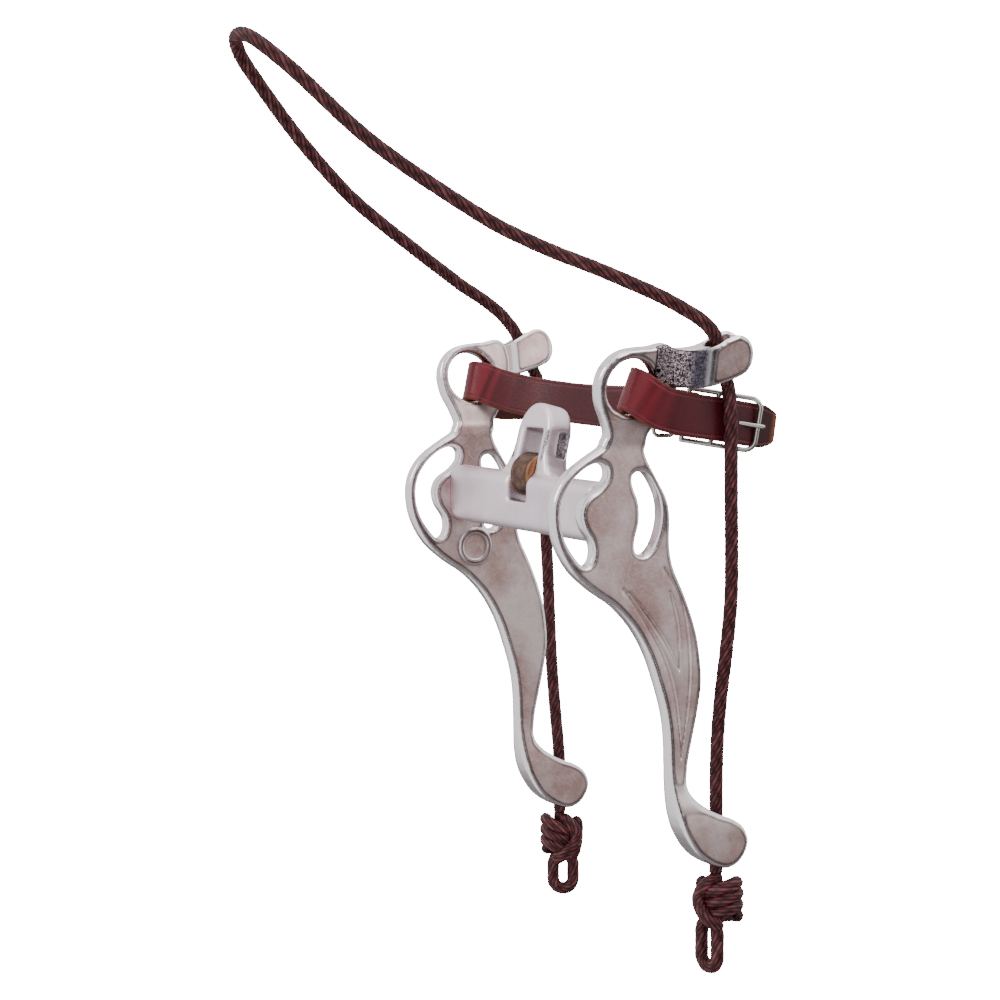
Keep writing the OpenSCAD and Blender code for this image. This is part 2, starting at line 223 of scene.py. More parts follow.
ROPE_R = 3.0 * MM
ROPE_STRANDS = 10
STRAND_SLOPE = math.tan(math.radians(27))
STITCH_LENGTH = 4.4 * MM
STRAND_DEPTH = 0.42 * MM
ROPE_STEP = 0.42 * MM
ROPE_SIDES = 44
END_FLAT = 0.12                     # how blunt a rounded rope end is, of its radius
TONE_SPREAD = 0.618                 # steps the stitches' tones apart


def rope_section(run, theta):
    """How far the strands stand up, 0 in the grooves to 1 on a crown, at a place on the rope."""
    phase = ROPE_STRANDS * (theta / (2 * math.pi) - run * STRAND_SLOPE / (2 * math.pi * ROPE_R))
    strand = np.floor(phase)
    across = np.abs(np.sin(math.pi * phase)) ** 0.55
    stitch = run / STITCH_LENGTH + 0.37 * np.mod(strand, ROPE_STRANDS)
    ends = np.abs(np.sin(math.pi * stitch)) ** 0.5
    return across * (0.45 + 0.55 * ends), strand + 13 * np.floor(stitch)


def rope_mesh(name, routes, rounded=True):
    """One mesh of braided tubes, a tube for each route, with rounded or square-cut ends."""
    verts, faces, height, stitch = [], [], [], []
    theta = np.arange(ROPE_SIDES) / ROPE_SIDES * 2 * math.pi
    for points in routes:
        line = points if isinstance(points, np.ndarray) else route_curve(points, ROPE_STEP)
        normal, binormal = carried_frames(line)
        run = run_along(line)
        up, which = rope_section(run[:, None], theta[None, :])
        size = ROPE_R - STRAND_DEPTH * (1 - up)
        if rounded:
            from_end = np.clip(np.minimum(run, run[-1] - run) / ROPE_R, END_FLAT, 1)
            size = size * np.sqrt(np.clip(1 - (1 - from_end) ** 2, 0, 1))[:, None]
        ring = (line[:, None, :] + size[..., None] * (
            np.cos(theta)[None, :, None] * normal[:, None, :]
            + np.sin(theta)[None, :, None] * binormal[:, None, :]))
        first = len(verts)
        verts.extend(ring.reshape(-1, 3).tolist())
        rings = len(line)
        faces.extend(tube_faces(rings, ROPE_SIDES, first))
        faces.append([first + k for k in range(ROPE_SIDES - 1, -1, -1)])
        faces.append([first + (rings - 1) * ROPE_SIDES + k for k in range(ROPE_SIDES)])
        height.extend(up.ravel().tolist())
        stitch.extend(np.mod(which * TONE_SPREAD, 1.0).ravel().tolist())
    piece = new_piece(name, verts, faces)
    point_attribute(piece, "strand_height", height)
    point_attribute(piece, "stitch_tone", stitch)
    return piece


CROWN_HALF = [
    (79.8, 49.3, 53.8), (81.5, 45, 63.6), (83.3, 40.5, 73.5), (82.6, 35.5, 79),
    (80, 29.5, 83.3), (76.5, 19, 89.2), (71.8, 5.5, 95.4), (65, -7.5, 101.5),
    (58, -19.5, 106.8), (52, -31, 112.4), (47.3, -42.5, 118.4), (44.2, -54, 125.3),
    (40.8, -66, 133), (36, -77.5, 141.2), (31, -89, 150.2), (27, -99.5, 159.5),
    (23.4, -109.5, 169.3), (19.5, -119, 178.8), (14.5, -127.5, 187),
    (7.8, -132.8, 192.7), (0, -134.5, 194.5),
]
RUN_POINTS = [
    (79.8, 49.3, 53.8), (79.6, 50.1, 52), (79.9, 50.9, 46), (80.1, 51.4, 36), (79.9, 51.8, 23),
    (79.1, 52.6, 5), (78, 53.8, -16), (76.7, 54.6, -38), (74.2, 54.2, -60), (71.5, 53.6, -79),
    (69.3, 53.6, -96), (67.6, 54.2, -112), (66.5, 55, -126), (66, 55.5, -138), (66, 55.5, -157.8),
]


def mirrored(points):
    return [(-p[0], *p[1:]) for p in points]


crown_route = CROWN_HALF + mirrored(CROWN_HALF[-2::-1])
crown_line = route_curve(crown_route, ROPE_STEP)
headstall = rope_mesh("headstall_rope_braid", [crown_line], rounded=False)
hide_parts("headstall_rope")
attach(headstall, "bit")

run_lines = {"left": route_curve(RUN_POINTS, ROPE_STEP),
             "right": route_curve(mirrored(RUN_POINTS), ROPE_STEP)}
side_ropes = {}
for side, line in run_lines.items():
    side_ropes[side] = rope_mesh(f"side_rope_{side}_braid", [line], rounded=False)
    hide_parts(f"rope_run_{side}")


# ---------------------------------------------------------------- stopper knots and rein loops

KNOT_TOP = -157.8
KNOT_Y = 57
FOOT_X = 66
LOOP_TOP = -181.8
LOOP_HALF = 4.8
WRAP_STEPS = 16                     # points in one turn of a wrap


def around(centre, radius, turns, start, rise, lean):
    """A wrap of rope round an upright core: points of a leaning helix, in millimetres."""
    out = []
    for i in range(int(turns * WRAP_STEPS) + 1):
        a = start + 2 * math.pi * i / WRAP_STEPS
        z = rise * i / WRAP_STEPS
        out.append((centre[0] + radius * math.cos(a), centre[1] + radius * math.sin(a),
                    centre[2] + z + lean * math.cos(a)))
    return out


def turned(points, centre, angle, flip=1):
    """Turns points about an upright axis through centre."""
    c, s = math.cos(angle), math.sin(angle)
    out = []
    for x, y, z in points:
        dx, dy = (x - centre[0]) * flip, y - centre[1]
        out.append((centre[0] + c * dx - s * dy, centre[1] + s * dx + c * dy, z))
    return out


def knot_routes(x, y, turn, flip=1):
    """The rope's path in a stopper knot: stacked wraps, a strand laid over them, a short end."""
    centre = (x, y)
    top = KNOT_TOP
    wraps = around((x + 1.5, y + 1.0, top - 21.2), 6.3, 3.1, 0.3, 5.1, 2.1)
    over = [(x + 1.5, y - 3.0, top - 1.6), (x - 2.6, y - 6.2, top - 5.4),
            (x - 5.2, y - 7.2, top - 10.2), (x - 3.4, y - 8.4, top - 15.2),
            (x + 1.6, y - 8.6, top - 19.4), (x + 5.8, y - 5.0, top - 22.6)]
    under = [(x - 5.6, y - 4.2, top - 2.6), (x - 6.9, y - 2.2, top - 7.4),
             (x - 7.2, y - 0.8, top - 13), (x - 6.2, y - 1.4, top - 18.6),
             (x - 3.4, y - 2, top - 23.6)]
    core = [(x, y - 1.5, top + 0.8), (x, y - 1.4, top - 3),
            (x + 0.3, y, top - 10), (x, y, top - 23.6)]
    return [turned(p, centre, turn, flip) for p in (wraps, over, under)] + [core]


def loop_route(x, y, turn, drop):
    """The rein loop below the knot, as one strand down, round and up again."""
    c, s, half = math.cos(turn), math.sin(turn), LOOP_HALF
    flat = [(-half * 0.7, 3.2), (-half, -2)]
    flat += [(-half, -drop * k / 3) for k in (1, 2, 3) if drop * k / 3 > 3]
    flat += [(half * math.cos(a), -drop + half * math.sin(a))
             for a in np.radians([200, 225, 250, 270, 290, 315, 340])]
    flat += [(half, -drop * k / 3) for k in (3, 2, 1) if drop * k / 3 > 3]
    flat += [(half, -2), (half * 0.7, 3.2)]
    return [(x + u * c, y + u * s, LOOP_TOP + v) for u, v in flat]


KNOTS = {
    "left": {"x": FOOT_X, "turn": math.radians(20), "flip": 1,
             "loop_y": 52.5, "loop_turn": math.radians(10), "drop": 12.4},
    "right": {"x": -FOOT_X, "turn": math.radians(75), "flip": -1,
              "loop_y": 57.5, "loop_turn": math.radians(61), "drop": 9.4},
}
knots, loops = {}, {}
for side, k in KNOTS.items():
    body = f"{side}_rein_end"
    knots[side] = rope_mesh(f"stopper_knot_{side}",
                            knot_routes(k["x"], KNOT_Y, k["turn"], k["flip"]))
    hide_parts(f"knot_{side}")
    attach(knots[side], body)
    loops[side] = rope_mesh(f"rein_loop_{side}_braid", [
        loop_route(k["x"], k["loop_y"], k["loop_turn"], k["drop"])])
    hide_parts(f"rein_loop_{side}")
    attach(loops[side], body)

for side, sign in (("left", 1), ("right", -1)):
    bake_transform(side_ropes[side])


# ---------------------------------------------------------------- materials

def new_material(name):
    made = bpy.data.materials.new(name)
    made.use_nodes = True
    tree = made.node_tree
    return made, tree, tree.nodes["Principled BSDF"]


def noise_map(tree, place, scale, detail=3.0, rough=0.55, distortion=0.0):
    """Noise with about scale grains to the metre, so that 1000 gives a grain of 1 mm."""
    return add(tree, "ShaderNodeTexNoise", {"Vector": place, "Scale": scale, "Detail": detail,
               "Roughness": rough, "Distortion": distortion}).outputs["Fac"]


def stretched(tree, place, scale, turn=(0, 0, 0)):
    """Coordinates turned first and then scaled, so that streaks lie along the turned axes."""
    cell = [1 / s for s in scale]
    return add(tree, "ShaderNodeMapping", {"Vector": place, "Scale": cell, "Rotation": turn},
               vector_type="TEXTURE").outputs["Vector"]


def maths(tree, operation, a, b):
    made = add(tree, "ShaderNodeMath", operation=operation)
    for socket, value in zip(made.inputs, (a, b)):
        if isinstance(value, bpy.types.NodeSocket):
            tree.links.new(value, socket)
        else:
            socket.default_value = value
    return made.outputs["Value"]


def mixed(tree, factor, a, b, blend="MIX"):
    made = add(tree, "ShaderNodeMix", data_type="RGBA", blend_type=blend)
    for index, value in ((0, factor), (6, a), (7, b)):
        if isinstance(value, bpy.types.NodeSocket):
            tree.links.new(value, made.inputs[index])
        else:
            made.inputs[index].default_value = value
    return made.outputs[2]


def braided_nylon():
    # Braided multifilament nylon, dyed burgundy: painted shade darkening the furrows between the
    # strands, a painted highlight as a soft silky line of light on each crown, and a few strands
    # paler than the rest.
    made, tree, shader = new_material("braided_burgundy_nylon")
    place = add(tree, "ShaderNodeTexCoord").outputs["Object"]
    height = add(tree, "ShaderNodeAttribute", attribute_name="strand_height").outputs["Fac"]
    tone = add(tree, "ShaderNodeAttribute", attribute_name="stitch_tone").outputs["Fac"]
    # Colour by strand height: the near-black grooves are painted shade and the lightest crown tone
    # is a painted highlight.
    base = ramp(tree, height, [(0.3, linear("#080203")), (0.6, linear("#28080B")),
                               (0.85, linear("#491217")), (1.0, linear("#6C262C"))])
    paler = ramp(tree, tone, [(0.55, 0.0), (0.98, 0.5)])
    fibre = noise_map(tree, stretched(tree, place, (900, 900, 900)), 1.0, 2.0)
    tinted = mixed(tree, maths(tree, "MULTIPLY", paler, height), base, linear("#8A5056"))
    colour = mixed(tree, maths(tree, "MULTIPLY", fibre, 0.45), tinted, linear("#22090D"))
    tree.links.new(colour, shader.inputs["Base Color"])
    bump = add(tree, "ShaderNodeBump", {"Height": fibre, "Strength": 0.35, "Distance": 0.0002})
    tree.links.new(bump.outputs["Normal"], shader.inputs["Normal"])
    shader.inputs["Roughness"].default_value = 0.5
    shader.inputs["IOR"].default_value = 1.53
    shader.inputs["Specular IOR Level"].default_value = 0.2
    return made


SCRATCH_TURNS = (0.35, 1.25, 2.2, 2.85)
FACE_ROUGH = 0.38
RIM_ROUGH = 0.17


def tumbled_cast_aluminium():
    # Sand-cast aluminium, tumbled and then polished on its rims: a dull warm face with fine
    # scratches every way and brown tarnish, bright smooth rounded edges with a painted dark
    # reflection as a dark line beside them, and a pitted, sooty patch on each lug that the
    # polishing missed.
    made, tree, shader = new_material("tumbled_cast_aluminium")
    place = add(tree, "ShaderNodeTexCoord").outputs["Object"]
    rim = add(tree, "ShaderNodeAttribute", attribute_name="rim").outputs["Fac"]
    cast = add(tree, "ShaderNodeAttribute", attribute_name="rough_cast").outputs["Fac"]
    cloud = noise_map(tree, place, 42, 4.0, 0.6)
    stain = ramp(tree, cloud, [(0.36, 0.0), (0.62, 1.0)])
    fine = noise_map(tree, place, 900, 2.0, 0.6)
    scratches = 0.0
    for turn in SCRATCH_TURNS:
        along = stretched(tree, place, (150, 130, 3200), (turn, 0, 0))
        hairs = noise_map(tree, along, 1.0, 1.0, 0.5, 0.4)
        scratches = maths(tree, "MAXIMUM", scratches, ramp(tree, hairs, [(0.66, 0.0), (0.74, 1.0)]))
    face = mixed(tree, stain, linear("#ECDAD9"), linear("#C19F9A"))
    speckled = mixed(tree, maths(tree, "MULTIPLY", fine, 0.25), face, linear("#6E6266"))
    scratched = mixed(tree, maths(tree, "MULTIPLY", scratches, 0.5), speckled, linear("#E6DCDA"))
    edged = mixed(tree, rim, scratched, linear("#F0E6EA"))
    # Painted dark reflection: a dark line painted on the face just beside each rounded rim, its
    # strength varied by noise.
    dark_reflection_line = add(tree, "ShaderNodeAttribute", attribute_name="painted_edge_reflection").outputs["Fac"]
    reflection_breakup = ramp(tree, noise_map(tree, place, 120, 2.0), [(0.3, 0.45), (0.6, 0.85)])
    edged = mixed(tree, maths(tree, "MULTIPLY", dark_reflection_line, reflection_breakup), edged, linear("#483D46"))
    pits = ramp(tree, noise_map(tree, place, 780, 3.0, 0.6, 2.2), [(0.46, 0.0), (0.56, 1.0)])
    pitted = mixed(tree, pits, linear("#1B1620"), linear("#CDB9BE"))
    sooty = mixed(tree, pits, linear("#2C2933"), linear("#5C5661"))
    darkened = mixed(tree, ramp(tree, cast, [(0.1, 0.0), (0.42, 1.0)]), edged, sooty)
    crusted = ramp(tree, cast, [(0.6, 0.0), (0.8, 1.0)])
    tree.links.new(mixed(tree, crusted, darkened, pitted), shader.inputs["Base Color"])
    spread = add(tree, "ShaderNodeMapRange", {"Value": rim, "To Min": FACE_ROUGH,
                 "To Max": RIM_ROUGH})
    rough = maths(tree, "ADD", spread.outputs["Result"], maths(tree, "MULTIPLY", fine, 0.1))
    tree.links.new(rough, shader.inputs["Roughness"])
    relief = maths(tree, "ADD", maths(tree, "MULTIPLY", fine, 0.25),
                   maths(tree, "MULTIPLY", scratches, 0.12))
    crust = maths(tree, "MULTIPLY", maths(tree, "MULTIPLY", pits, crusted), 2.2)
    relief = maths(tree, "ADD", relief, crust)
    bump = add(tree, "ShaderNodeBump", {"Height": relief, "Strength": 0.35, "Distance": 0.0003})
    tree.links.new(bump.outputs["Normal"], shader.inputs["Normal"])
    shader.inputs["Metallic"].default_value = 1.0
    return made


def satin_cast_aluminium():
    # Bead-blasted cast aluminium: a milky, even satin with faint casting marks and rough pits
    # where the pattern's cores left hollows.
    made, tree, shader = new_material("satin_cast_aluminium")
    place = add(tree, "ShaderNodeTexCoord").outputs["Object"]
    cast = add(tree, "ShaderNodeAttribute", attribute_name="rough_cast").outputs["Fac"]
    cloud = noise_map(tree, place, 55, 3.0, 0.5)
    grain = noise_map(tree, place, 1500, 2.0, 0.6)
    milky = ramp(tree, cloud, [(0.35, 0.0), (0.7, 1.0)])
    base = mixed(tree, milky, linear("#F3E6ED"), linear("#E2D2DB"))
    pits = ramp(tree, noise_map(tree, place, 700, 3.0, 0.6, 1.0), [(0.42, 0.0), (0.58, 1.0)])
    pitted = mixed(tree, pits, linear("#6F6570"), linear("#B9AFB6"))
    tree.links.new(mixed(tree, cast, base, pitted), shader.inputs["Base Color"])
    tree.links.new(maths(tree, "ADD", maths(tree, "MULTIPLY", cloud, 0.12), 0.36),
                   shader.inputs["Roughness"])
    relief = maths(tree, "ADD", maths(tree, "MULTIPLY", grain, 0.2),
                   maths(tree, "MULTIPLY", maths(tree, "MULTIPLY", pits, cast), 1.5))
    bump = add(tree, "ShaderNodeBump", {"Height": relief, "Strength": 0.3, "Distance": 0.0003})
    tree.links.new(bump.outputs["Normal"], shader.inputs["Normal"])
    shader.inputs["Metallic"].default_value = 1.0
    return made


def worn_copper():
    # Turned copper, browned by use: dark patina on the tread, bare orange metal on the rim.
    made, tree, shader = new_material("worn_copper")
    place = add(tree, "ShaderNodeTexCoord").outputs["Object"]
    rim = add(tree, "ShaderNodeAttribute", attribute_name="rim").outputs["Fac"]
    cloud = noise_map(tree, place, 260, 4.0, 0.65)
    turned_lines = noise_map(tree, stretched(tree, place, (5200, 60, 60)), 1.0, 2.0)
    patina = ramp(tree, cloud, [(0.3, linear("#2C211C")), (0.5, linear("#5A4236")),
                                (0.72, linear("#7E614F"))])
    streaked = mixed(tree, maths(tree, "MULTIPLY", turned_lines, 0.35), patina, linear("#4A3426"))
    tree.links.new(mixed(tree, rim, streaked, linear("#93684B")), shader.inputs["Base Color"])
    rough = add(tree, "ShaderNodeMapRange", {"Value": rim, "To Min": 0.5, "To Max": 0.25})
    tree.links.new(rough.outputs["Result"], shader.inputs["Roughness"])
    bump = add(tree, "ShaderNodeBump", {"Height": maths(tree, "ADD", turned_lines, cloud),
               "Strength": 0.35, "Distance": 0.0002})
    tree.links.new(bump.outputs["Normal"], shader.inputs["Normal"])
    shader.inputs["Metallic"].default_value = 0.85
    return made


PORES_PER_METRE = 1500.0            # 0.7 mm apart, coarser than real so that they show


def oiled_latigo():
    # Oiled latigo leather: burgundy grain side with fine pores, crease lines painted lighter as a
    # painted highlight, a painted highlight where the strap bends, a fuzzy flesh side, raw tan cut
    # edges, and a darker tip.
    made, tree, shader = new_material("oiled_latigo_leather")
    place = add(tree, "ShaderNodeTexCoord").outputs["Object"]
    edge = add(tree, "ShaderNodeAttribute", attribute_name="cut_edge").outputs["Fac"]
    flesh = add(tree, "ShaderNodeAttribute", attribute_name="flesh_side").outputs["Fac"]
    crease = add(tree, "ShaderNodeAttribute", attribute_name="crease").outputs["Fac"]
    bend = add(tree, "ShaderNodeAttribute", attribute_name="bend").outputs["Fac"]
    cloud = noise_map(tree, place, 70, 4.0, 0.6)
    pores = add(tree, "ShaderNodeTexVoronoi", {"Vector": place, "Scale": PORES_PER_METRE}
                ).outputs["Distance"]
    grain = mixed(tree, ramp(tree, cloud, [(0.3, 0.0), (0.7, 1.0)]),
                  linear("#330810"), linear("#410B15"))
    # Painted highlight: the leather's colour is lightened where the strap bends sharply.
    bright = mixed(tree, bend, grain, linear("#661823"))
    # The last centimetre or so of the strap is painted darker.
    tip = add(tree, "ShaderNodeAttribute", attribute_name="dark_tip").outputs["Fac"]
    tip_darkened = mixed(tree, tip, bright, linear("#2C090C"))
    # Painted highlight: the crease lines are painted lighter than the grain.
    lined = mixed(tree, maths(tree, "MULTIPLY", crease, 0.6), tip_darkened, linear("#6B282D"))
    back_side = mixed(tree, cloud, linear("#31100F"), linear("#4B201D"))
    sided = mixed(tree, flesh, lined, back_side)
    fibres = noise_map(tree, place, 1300, 3.0, 0.7)
    tan = mixed(tree, fibres, linear("#4A2014"), linear("#86492C"))
    tree.links.new(mixed(tree, edge, sided, tan), shader.inputs["Base Color"])
    rough = add(tree, "ShaderNodeMapRange", {"Value": maths(tree, "MAXIMUM", flesh, edge),
                "To Min": 0.3, "To Max": 0.8})
    tree.links.new(maths(tree, "ADD", rough.outputs["Result"], maths(tree, "MULTIPLY", cloud, 0.1)),
                   shader.inputs["Roughness"])
    relief = maths(tree, "ADD", maths(tree, "MULTIPLY", pores, 0.5),
                   maths(tree, "MULTIPLY", fibres, 0.5))
    bump = add(tree, "ShaderNodeBump", {"Height": relief, "Strength": 0.3, "Distance": 0.0003})
    tree.links.new(bump.outputs["Normal"], shader.inputs["Normal"])
    shader.inputs["IOR"].default_value = 1.5
    shader.inputs["Specular IOR Level"].default_value = 0.28
    return made


def nickel_wire(name="nickel_plated_wire", tone="#C9C6C2"):
    # Nickel-plated steel wire: bright and smooth, with faint drawing lines and handling marks.
    made, tree, shader = new_material(name)
    place = add(tree, "ShaderNodeTexCoord").outputs["Object"]
    cloud = noise_map(tree, place, 350, 3.0, 0.6)
    lines = noise_map(tree, stretched(tree, place, (700, 700, 2600)), 1.0, 1.5)
    base = mixed(tree, maths(tree, "MULTIPLY", cloud, 0.5), linear(tone), linear("#8E8884"))
    tree.links.new(base, shader.inputs["Base Color"])
    tree.links.new(maths(tree, "ADD", maths(tree, "MULTIPLY", cloud, 0.2), 0.12),
                   shader.inputs["Roughness"])
    bump = add(tree, "ShaderNodeBump", {"Height": lines, "Strength": 0.12, "Distance": 0.0002})
    tree.links.new(bump.outputs["Normal"], shader.inputs["Normal"])
    shader.inputs["Metallic"].default_value = 1.0
    return made


nylon = braided_nylon()
cheek_metal = tumbled_cast_aluminium()
bar_metal = satin_cast_aluminium()
copper = worn_copper()
latigo = oiled_latigo()
nickel = nickel_wire()
axle_steel = nickel_wire("drawn_axle_steel", "#9A9592")

for rope_piece in (headstall, *side_ropes.values(), *knots.values(), *loops.values()):
    rope_piece.data.materials.append(nylon)
axle_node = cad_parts["roller_axle"]
axle_node.data.materials.clear()
axle_node.data.materials.append(axle_steel)


# ---------------------------------------------------------------- castings

def cast_from(node, name, voxel, passes):
    """A casting with softly rounded edges, worked up from a copy of its CAD solid."""
    piece = cad_copy(node, name)
    remesh = piece.modifiers.new("remesh", "REMESH")
    remesh.mode = "VOXEL"
    remesh.voxel_size = voxel
    remesh.use_smooth_shade = True
    soften = piece.modifiers.new("soften", "SMOOTH")
    soften.factor = 0.5
    soften.iterations = passes
    finish_modifiers(piece)
    set_coords(piece, coords(piece) + CAST_REGROWTH * normals(piece))
    return piece


def thin_to(piece, triangles):
    """Drops vertices where the surface is flat, down to about that many triangles."""
    now = 2 * len(piece.data.polygons)
    if now > triangles:
        thin = piece.modifiers.new("thin", "DECIMATE")
        thin.ratio = triangles / now
        finish_modifiers(piece)
    piece.data.polygons.foreach_set("use_smooth", [True] * len(piece.data.polygons))


def line_distance(points, line):
    """Distance from each 2-D point to a line of 2-D points."""
    best = np.full(len(points), 1e9)
    place = np.zeros(len(points))
    lengths = np.linalg.norm(np.diff(line, axis=0), axis=1)
    before = np.concatenate([[0], np.cumsum(lengths)])
    for i in range(len(line) - 1):
        a, d = line[i], line[i + 1] - line[i]
        t = np.clip(((points - a) @ d) / (d @ d), 0, 1)
        gap = np.linalg.norm(points - a - t[:, None] * d, axis=1)
        closer = gap < best
        best[closer] = gap[closer]
        place[closer] = (before[i] + t[closer] * lengths[i]) / before[-1]
    return best, place


def smoothstep(low, high, value):
    t = np.clip((value - low) / (high - low), 0, 1)
    return t * t * (3 - 2 * t)


def spread_out(piece, values):
    """A value per point, blurred over the surface by averaging with its neighbours."""
    pairs = np.empty(2 * len(piece.data.edges), np.int32)
    piece.data.edges.foreach_get("vertices", pairs)
    a, b = pairs[0::2], pairs[1::2]
    count = np.bincount(pairs, minlength=len(values))
    for _ in range(SPREAD_PASSES):
        total = (np.bincount(a, values[b], len(values)) + np.bincount(b, values[a], len(values)))
        values = 0.4 * values + 0.6 * total / np.maximum(count, 1)
    return values


# Grooves cut in the outer face below the bar, as (y, z) in millimetres
GROOVES = [
    [(6, -31.5), (15, -43), (26, -60.5), (32, -77), (35, -97), (35.6, -106)],
    [(26.5, -24), (34.8, -37), (39, -55), (39.8, -73), (38, -90), (35.6, -106)],
    [(9, -33), (17, -42), (27, -55), (34.5, -68)],
    [(29.5, -34), (33.6, -50), (34.5, -68)],
]
GROOVE_HALF = 0.85 * MM
GROOVE_DEPTH = 0.95 * MM
PLATE_MID = 65 * MM
PLATE_HALF = 3.25 * MM
BEND_Z = 28 * MM
LEAN = math.radians(10)
BOSS_AT = (6.5, -25.5)
BOSS_RING_R = 7.45 * MM
BOSS_RING_RISE = 0.7 * MM
NEAR_FACE = 0.9 * MM                # how deep a point may lie and still be on a face
LUG_CRUST_FROM = (16.5 * MM, 19 * MM)
LUG_CRUST_TO = 41 * MM
LUG_CRUST_FADE = 15 * MM
CHEEK_TRIANGLES = 170000
MOUTHPIECE_TRIANGLES = 150000
PORT_LEAN = math.radians(14)
PORT_FOOT_Y = 0.5 * MM
CAST_VOXEL = 0.45 * MM
CAST_PASSES = 64
SPREAD_PASSES = 20
CAST_REGROWTH = 0.22 * MM           # what the softening takes off the thin limbs, put back


def cheek(side, sign):
    """A cheek casting: grooved outside, a raised ring inside on the right, polished rims."""
    piece = cast_from(f"cheek_{side}", f"cheek_casting_{side}", CAST_VOXEL, CAST_PASSES)
    co, no = coords(piece), normals(piece)
    x = co[:, 0] * sign
    flat = np.stack([co[:, 1], co[:, 2]], axis=1)
    on_outer = (x > PLATE_MID + PLATE_HALF - NEAR_FACE) & (no[:, 0] * sign > 0.8) & (co[:, 2] < 0)
    sink = np.zeros(len(co))
    for groove in GROOVES:
        pts = [(0, p[0], p[1]) for p in groove]
        line = route_curve(pts, 1.0 * MM)[:, 1:]
        gap, place = line_distance(flat[on_outer], line)
        width = GROOVE_HALF * (0.35 + 0.65 * np.sin(math.pi * np.clip(place, 0.02, 0.98)) ** 0.5)
        cut = GROOVE_DEPTH * (1 - smoothstep(0.0, 0.9, gap / width))
        sink[on_outer] = np.maximum(sink[on_outer], cut)
    co[:, 0] -= sign * sink
    if side == "right":
        on_inner = (x < PLATE_MID - PLATE_HALF + NEAR_FACE) & (no[:, 0] * sign < -0.8)
        reach = np.linalg.norm(flat - np.array(BOSS_AT) * MM, axis=1)
        ring = 1 - smoothstep(0.3, 0.85, np.abs(reach - BOSS_RING_R) / MM)
        co[:, 0] -= np.where(on_inner, sign * ring * BOSS_RING_RISE, 0)
    lean_dir = np.where(co[:, 2] > BEND_Z, LEAN, 0.0)
    facing = np.abs(no[:, 0] * np.cos(lean_dir) * sign - no[:, 2] * np.sin(lean_dir))
    rim = 1 - smoothstep(0.965, 0.998, facing)
    up = (co[:, 2] - BEND_Z) / math.cos(LEAN)
    cast = (smoothstep(*LUG_CRUST_FROM, co[:, 1])
            * np.clip((LUG_CRUST_TO - co[:, 1]) / LUG_CRUST_FADE, 0, 1)
            * smoothstep(18 * MM, 24 * MM, up) * smoothstep(0.3, 0.6, no[:, 0] * sign))
    # A band just beside the rims, where the painted dark reflection line goes.
    dark_reflection_line = smoothstep(0.1, 0.32, spread_out(piece, rim)) * (1 - smoothstep(0.1, 0.6, rim))
    set_coords(piece, co)
    point_attribute(piece, "rim", rim)
    point_attribute(piece, "painted_edge_reflection", dark_reflection_line)
    point_attribute(piece, "rough_cast", cast)
    thin_to(piece, CHEEK_TRIANGLES)
    piece.data.materials.append(cheek_metal)
    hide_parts(f"cheek_{side}")
    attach(piece, "bit")


cheek("left", 1)
cheek("right", -1)


def mouthpiece():
    """The bar and port casting, with rough hollows beside the port's legs."""
    piece = cast_from("mouthpiece", "mouthpiece_casting", CAST_VOXEL, CAST_PASSES)
    co = coords(piece)
    up = ((co[:, 1] - PORT_FOOT_Y) * math.sin(PORT_LEAN) + co[:, 2] * math.cos(PORT_LEAN))
    cast = (smoothstep(11.2 * MM, 11.8 * MM, np.abs(co[:, 0])) * smoothstep(17 * MM, 19 * MM, up)
            * (1 - smoothstep(31 * MM, 33 * MM, up)) * (np.abs(co[:, 0]) < 13.4 * MM))
    point_attribute(piece, "rough_cast", cast)
    thin_to(piece, MOUTHPIECE_TRIANGLES)
    piece.data.materials.append(bar_metal)
    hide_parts("mouthpiece")
    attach(piece, "bit")


mouthpiece()


# ---------------------------------------------------------------- roller and small metal

SMOOTH_ANGLE = math.radians(40)


def smooth_copy(node, name, material, body):
    """A CAD solid whose shape is right, shaded smooth up to its hard edges."""
    piece = cad_copy(node, name)
    make_active(piece)
    bpy.ops.object.shade_smooth_by_angle(angle=SMOOTH_ANGLE)
    piece.data.materials.append(material)
    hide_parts(node)
    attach(piece, body)
    return piece


roller = smooth_copy("roller", "copper_roller", copper, "roller")
co = coords(roller)
point_attribute(roller, "rim", smoothstep(6.3 * MM, 7.4 * MM, np.abs(co[:, 0])))

buckle = smooth_copy("buckle_frame", "wire_buckle", nickel, "strap")
tongue = smooth_copy("buckle_tongue", "wire_buckle_tongue", nickel, "tongue")
keeper = smooth_copy("strap_keeper", "wire_strap_keeper", nickel, "keeper")
rivets = smooth_copy("fold_rivets", "strap_rivets", nickel, "strap")


# ---------------------------------------------------------------- curb strap

FOLD_POINTS = [
    (32, 44.6, 41.3, 0, 0), (38, 43.95, 41.3, 0, 0), (45, 42.6, 41.3, 0, 0),
    (52, 41.05, 41.1, 0.01, 0.02), (58, 39.4, 40.8, 0.04, 0.08),
    (61.4, 37.5, 40.5, 0.06, 0.13), (64.5, 36, 40.4, 0.074, 0.148),
    (66.8, 36.9, 40.4, 0.074, 0.148), (67.5, 39, 40.4, 0.074, 0.148),
    (66.7, 41.1, 40.4, 0.074, 0.148), (64.5, 42.1, 40.4, 0.07, 0.14),
    (61.5, 42.4, 40.5, 0.05, 0.1), (58, 43.1, 40.8, 0.02, 0.05),
    (50, 45, 41.1, 0, 0), (40, 47.3, 41, 0, 0), (25, 49, 41, 0, 0), (0, 49.8, 41, 0, 0),
    (-25, 49.2, 41, 0, 0), (-45, 48.3, 41.2, 0, 0), (-60, 47.2, 41.5, 0, 0),
    (-68, 45, 41.6, 0, 0.05), (-73, 40.5, 41.5, 0, 0.1), (-75.1, 34, 41.5, -0.03, 0.15),
]
